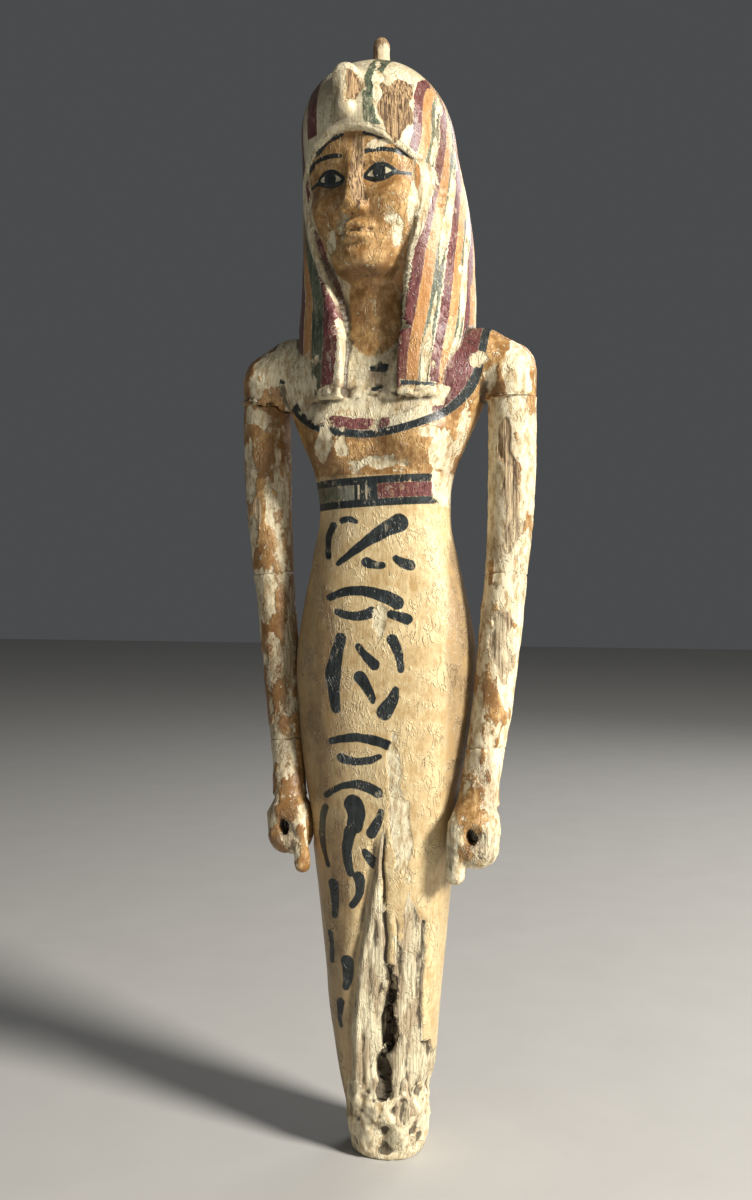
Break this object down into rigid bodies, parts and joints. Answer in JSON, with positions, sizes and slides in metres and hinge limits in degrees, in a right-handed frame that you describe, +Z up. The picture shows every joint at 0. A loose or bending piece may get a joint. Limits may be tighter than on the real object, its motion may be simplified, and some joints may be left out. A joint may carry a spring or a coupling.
{
  "type": "painted wooden statuette",
  "caption": "Slender painted wooden figure of a standing court lady in a striped headcloth, arms hanging with pierced fists, a peg in the crown and a broken, weathered lower end.",
  "frame": {"origin": "centre of the broken underside the statuette stands on", "axes": "+Z up, the figure faces -Y, its left hand is on the +X side"},
  "size_m": [0.1953, 0.1082, 0.7102],
  "materials": {
    "painted_body": "worn paint on cream gesso over carved wood",
    "painted_arms": "worn orange-brown paint on cream gesso over carved wood",
    "bare_wood": "bare aged wood"
  },
  "bodies": {
    "root": {"figure": "painted_body", "left_arm": "painted_arms", "right_arm": "painted_arms", "crown_peg": "bare_wood"}
  },
  "joints": []
}
